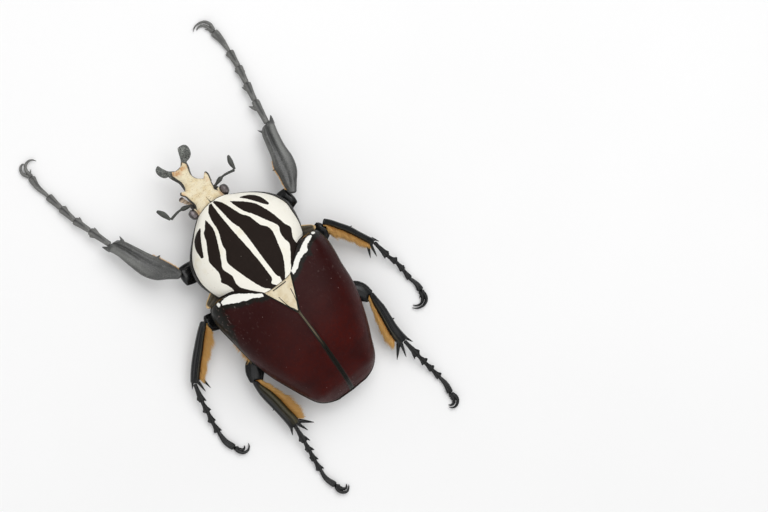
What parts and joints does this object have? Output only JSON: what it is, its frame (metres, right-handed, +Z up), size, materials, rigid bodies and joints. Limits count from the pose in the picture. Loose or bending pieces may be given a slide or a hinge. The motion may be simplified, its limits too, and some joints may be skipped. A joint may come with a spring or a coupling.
{
  "type": "goliath beetle",
  "caption": "Life-size still model of a large horned scarab beetle with striped shield, dark red wing cases and spread legs, resting on its breast.",
  "frame": {"origin": "centre of the flat of the breast that rests on the floor, under the tip of the scutellum", "axes": "+X to the beetle's left, +Y to its rear (the head points along -Y), +Z up"},
  "size_m": [0.0781, 0.1446, 0.024],
  "materials": {
    "head_cream": "cream powdery bloom with fine dark specks",
    "horn_dark": "dark grey, grained",
    "eye_dark": "dark, glossy, finely faceted",
    "antenna_dark": "dark grey satin",
    "mouth_brown": "brown satin with short hairs",
    "pronotum_striped": "white bloom with velvety black bands",
    "scutellum_cream": "cream bloom",
    "elytra_maroon": "dark maroon satin with black-green edges and white marks",
    "breast_dark": "dark greenish shell with short golden hair",
    "flange_brown": "brown shell with orange hair",
    "leg_grey": "dark grey, matt, grained",
    "leg_black": "glossy black",
    "fringe_gold": "golden orange hairs"
  },
  "bodies": {
    "root": {"head": "head_cream", "eye_left": "eye_dark", "eye_right": "eye_dark", "horn_stem": "head_cream", "horn_prong_left": "horn_dark", "horn_prong_right": "horn_dark", "antenna_stalk_left": "antenna_dark", "antenna_stalk_right": "antenna_dark", "antenna_club_left": "antenna_dark", "antenna_club_right": "antenna_dark", "mouthparts": "mouth_brown", "palp_left": "mouth_brown", "palp_right": "mouth_brown", "pronotum": "pronotum_striped", "prosternum": "breast_dark", "scutellum": "scutellum_cream", "elytron_left": "elytra_maroon", "elytron_right": "elytra_maroon", "mesepimeron_left": "flange_brown", "mesepimeron_right": "flange_brown", "metathorax": "breast_dark", "abdomen": "breast_dark", "pygidium": "breast_dark", "coxa_fore_left": "leg_grey", "coxa_fore_right": "leg_grey", "coxa_mid_left": "leg_black", "coxa_mid_right": "leg_black", "coxa_hind_left": "leg_black", "coxa_hind_right": "leg_black", "femur_fore_left": "leg_grey", "femur_fore_right": "leg_grey", "femur_mid_left": "leg_black", "femur_mid_right": "leg_black", "femur_hind_left": "leg_black", "femur_hind_right": "leg_black", "tibia_fore_left": "leg_grey", "tibia_fore_right": "leg_grey", "tibia_mid_left": "leg_black", "tibia_mid_right": "leg_black", "tibia_hind_left": "leg_black", "tibia_hind_right": "leg_black", "fringe_mid_left": "fringe_gold", "fringe_mid_right": "fringe_gold", "fringe_hind_left": "fringe_gold", "fringe_hind_right": "fringe_gold", "tarsus_fore_left": "leg_grey", "tarsus_fore_right": "leg_grey", "tarsus_mid_left": "leg_black", "tarsus_mid_right": "leg_black", "tarsus_hind_left": "leg_black", "tarsus_hind_right": "leg_black", "claws_fore_left": "leg_grey", "claws_fore_right": "leg_grey", "claws_mid_left": "leg_black", "claws_mid_right": "leg_black", "claws_hind_left": "leg_black", "claws_hind_right": "leg_black"}
  },
  "joints": []
}
